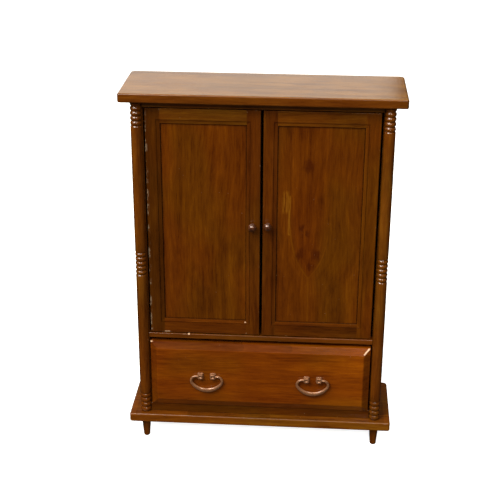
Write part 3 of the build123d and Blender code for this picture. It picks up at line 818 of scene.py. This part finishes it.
def finish_case():
    # The top face gets a painted sheen.
    board("top_board", 1.0, X, CASE, wear=0.35, faded=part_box("top_board")[1].z / MM)
    # Painted shade lies on the base board's ledge, under the drawer.
    ledge = box_mm("base_board")[1][Z] + 0.2
    ledge_shade = [Mark((start, ledge), (end, ledge), 0.6, 0.22) for start, end in ((-52, 52), (-30, 4))]
    board("base_board", 2.0, X, BASE, wear=0.2, pooled=ledge_shade)
    board("carcass_top", 5.0, X, CASE, open_axes=(Y, Z), wear=0.3)
    chip = Mark((-29.6, 49.3), (-29.5, 49.4), 0.4, 0.6)
    board("shelf", 6.0, X, SHELF, open_axes=(Y, Z), wear=0.15, scuffs=[chip], paler=(-12.0, 38.0))
    # The plinth's darker tone is painted shade under the drawer's overhang.
    board("carcass_bottom", 7.0, X, SHADED_PLINTH, open_axes=(Y, Z), wear=0.2)
    board("left_side", 8.0, Z, CASE, wear=0.3)
    board("right_side", 9.0, Z, CASE, wear=0.3)
    board("back_panel", 10.0, Z, INNER, wear=0.2)
    board("hanging_rail", 11.0, X, INNER, open_axes=(Y, Z))


def finish_drawer():
    low, high = box_mm("drawer_front")
    left, right, foot, head = low[X], high[X], low[Z] + 1, high[Z] - 4
    worn_mitre = Mark((right - 0.6, high[Z] - 0.3), (right - 2.4, high[Z] - 2.4), 0.42, 0.95)
    # A painted highlight where the drawer's top left corner catches the light, in unstained-wood colour.
    painted_corner_highlight = Mark((left + 0.2, high[Z] - 0.1), (left + 0.5, high[Z]), 0.4, 0.9)
    # Painted shade on the drawer's side bevels and on the left of its top bevel.
    painted_bevel_shade = [
        Mark((right - 1.2, foot), (right - 1.2, head), 1.4, 0.5),
        Mark((left + 1.2, foot), (left + 1.2, head), 1.4, 0.25),
    ]
    for end in (-8, 12):
        painted_bevel_shade.append(Mark((left + 2, high[Z] - 1.3), (end, high[Z] - 1.3), 1.5, 0.2))
    board("drawer_front", 12.0, X, DRAWER, wear=0.5, scuffs=[worn_mitre, painted_corner_highlight],
          pooled=painted_bevel_shade, paler=(18.0, 42.0))
    board("drawer_back", 13.0, X, INNER, wear=0.2)
    board("drawer_bottom", 14.0, X, INNER, wear=0.1)
    board("drawer_left_side", 15.0, Y, INNER, wear=0.2)
    board("drawer_right_side", 16.0, Y, INNER, wear=0.2)


def finish_door(side, seed):
    """A door's frame and panel.

    The left door has a stile darkened partly as older wood and partly by a painted shadow of the
    column, with a dusty edge, and a chipped bottom rail, and the right door has the arched figure on
    its panel.
    """
    left = side == "left"
    door = f"{side}_door_"
    outer, inner, panel = door + "outer_stile", door + "inner_stile", door + "panel"
    top_rail, bottom_rail = door + "top_rail", door + "bottom_rail"
    outer_box, inner_box = box_mm(outer), box_mm(inner)
    chips = [Mark((-40.5, 50.2), (-37.5, 50.3), 0.3, 0.4), Mark((-6.3, 55.4), (-6.2, 55.5), 0.3, 0.7)]
    if left:
        # The left outer stile's darker tone is partly a painted shadow of the left column.
        board(outer, seed, Z, SHADOWED_OLD_STILE, wear=0.4, dusty=outer_box[0][X])
        seen = (outer_box[1][X], inner_box[0][X])
    else:
        board(outer, seed, Z, DOOR, wear=0.4)
        seen = (inner_box[1][X], outer_box[0][X])
    board(inner, seed + 1, Z, FRAME, wear=0.4)
    board(top_rail, seed + 2, X, RAIL, open_axes=(Y, Z), wear=0.3)
    board(bottom_rail, seed + 3, X, FRAME, open_axes=(Y, Z), wear=0.4, scuffs=chips if left else ())
    # The panel's seen edges get painted shade, with thick stain, along this rectangle.
    rectangle = (*seen, box_mm(bottom_rail)[1][Z], box_mm(top_rail)[0][Z])
    arch = None if left else ARCH_FOOT
    finish_node(panel, wood(f"{panel}_wood", seed + 4, Z, DOOR, panel=rectangle, arch=arch))


def finish_brads():
    steel = metal("brad_steel", srgb(196, 196, 194), srgb(92, 88, 82), 0.32, 0.4, 1.0)
    for side in SIDES:
        for end in ("top", "bottom"):
            finish_node(f"{side}_door_{end}_brad", steel)


# ---- stage, lights and camera -------------------------------------------------------------------
WARM = (1.0, 0.95, 0.87)
WARMER = (1.0, 0.90, 0.74)


def build_stage():
    """A pale studio floor that fills the view. Its glow doesn't light the wood or show in it."""
    mesh = bpy.data.meshes.new("studio_floor")
    half = 4.0
    corners = [(-half, -half, 0), (half, -half, 0), (half, half, 0), (-half, half, 0)]
    mesh.from_pydata(corners, [], [(0, 1, 2, 3)])
    g = Graph("floor_paper")
    grey = g.noise(g.place_mm(), 0.01, 2.0)
    g.join(g.ramp(grey, [(0.3, (0.90, 0.90, 0.89)), (0.7, (0.93, 0.93, 0.93))]),
           g.shader.inputs["Base Color"])
    g.shader.inputs["Emission Color"].default_value = (1, 1, 1, 1)
    g.shader.inputs["Emission Strength"].default_value = 0.88
    g.shader.inputs["Roughness"].default_value = 0.9
    g.shader.inputs["Specular IOR Level"].default_value = 0.1
    mesh.materials.append(g.material)
    floor = bpy.data.objects.new("studio_floor", mesh)
    floor.visible_glossy = False
    floor.visible_diffuse = False
    bpy.context.scene.collection.objects.link(floor)


def away(azimuth, elevation):
    """The direction at an azimuth, from straight in front toward the right, and an elevation.

    Both are in radians. An elevation past a right angle comes down behind.
    """
    level = math.cos(elevation)
    return Vector((math.sin(azimuth) * level, -math.cos(azimuth) * level, math.sin(elevation)))


def area_light(name, azimuth, elevation, distance, size, power, colour):
    """A soft rectangular light, aimed at the middle of the wardrobe. Its angles are in degrees."""
    way = away(math.radians(azimuth), math.radians(elevation))
    data = bpy.data.lights.new(name, "AREA")
    data.shape = "RECTANGLE"
    data.size, data.size_y = size
    data.energy = power
    data.color = colour
    light = bpy.data.objects.new(name, data)
    light.location = (CAD_BOX[0] + CAD_BOX[1]) / 2 + way * distance
    light.rotation_euler = way.to_track_quat("Z", "Y").to_euler()
    bpy.context.scene.collection.objects.link(light)


def build_lights():
    area_light("key", -40, 46, distance=0.9, size=(0.45, 0.45), power=11.6, colour=WARM)
    area_light("overhead", 12, 66, distance=0.9, size=(0.7, 0.5), power=4.0, colour=WARMER)
    area_light("back", 14, 165, distance=1.3, size=(0.9, 0.35), power=1.05, colour=WARM)
    area_light("left_window", -68, 34, distance=1.1, size=(0.10, 0.14), power=1.4, colour=WARM)
    area_light("front_right", 14, 33, distance=1.1, size=(0.15, 0.13), power=3.2, colour=WARM)


def build_world():
    """Soft light from all round. Reflections see a dim room, as in a shaded studio."""
    world = bpy.data.worlds.new("studio")
    world.use_nodes = True
    nodes, links = world.node_tree.nodes, world.node_tree.links
    background = nodes["Background"]
    background.inputs["Color"].default_value = (1.0, 0.98, 0.95, 1)
    path = nodes.new("ShaderNodeLightPath")
    strength = nodes.new("ShaderNodeMapRange")
    strength.inputs["To Min"].default_value = 0.28
    strength.inputs["To Max"].default_value = 0.012
    links.new(path.outputs["Is Glossy Ray"], strength.inputs["Value"])
    links.new(strength.outputs["Result"], background.inputs["Strength"])
    bpy.context.scene.world = world
    bpy.context.scene.view_settings.view_transform = "Standard"


def build_camera():
    """Nearly square on, looking down at the wardrobe from in front."""
    azimuth, elevation, roll = math.radians(3.68), math.radians(23.38), math.radians(0.32)
    target = Vector((-5.28 * MM, 0, 82.12 * MM))
    distance = 470.4 * MM
    back = away(azimuth, elevation)
    level = Vector((math.cos(azimuth), math.sin(azimuth), 0))
    upright = back.cross(level)
    right = level * math.cos(roll) + upright * math.sin(roll)
    up = upright * math.cos(roll) - level * math.sin(roll)
    data = bpy.data.cameras.new("camera")
    data.sensor_width = 36.0
    data.lens = 82.3
    data.clip_start = 0.01
    data.clip_end = 20.0
    camera = bpy.data.objects.new("camera", data)
    turn = Matrix((right, up, back)).transposed()
    camera.matrix_world = Matrix.Translation(target + back * distance) @ turn.to_4x4()
    bpy.context.scene.collection.objects.link(camera)
    bpy.context.scene.camera = camera


knob_metal = metal("knob_bronze", srgb(84, 48, 28), srgb(48, 22, 9), 0.12, 0.8, 0.3)
pull_metal = metal("pull_copper", srgb(142, 98, 66), srgb(96, 60, 36), 0.34, 0.6, 0.4)
build_columns()
build_feet()
build_knobs(knob_metal)
build_bails(pull_metal)
build_posts(pull_metal)
finish_case()
finish_drawer()
finish_door("left", 20.0)
finish_door("right", 29.0)
finish_brads()
build_stage()
build_lights()
build_world()
build_camera()
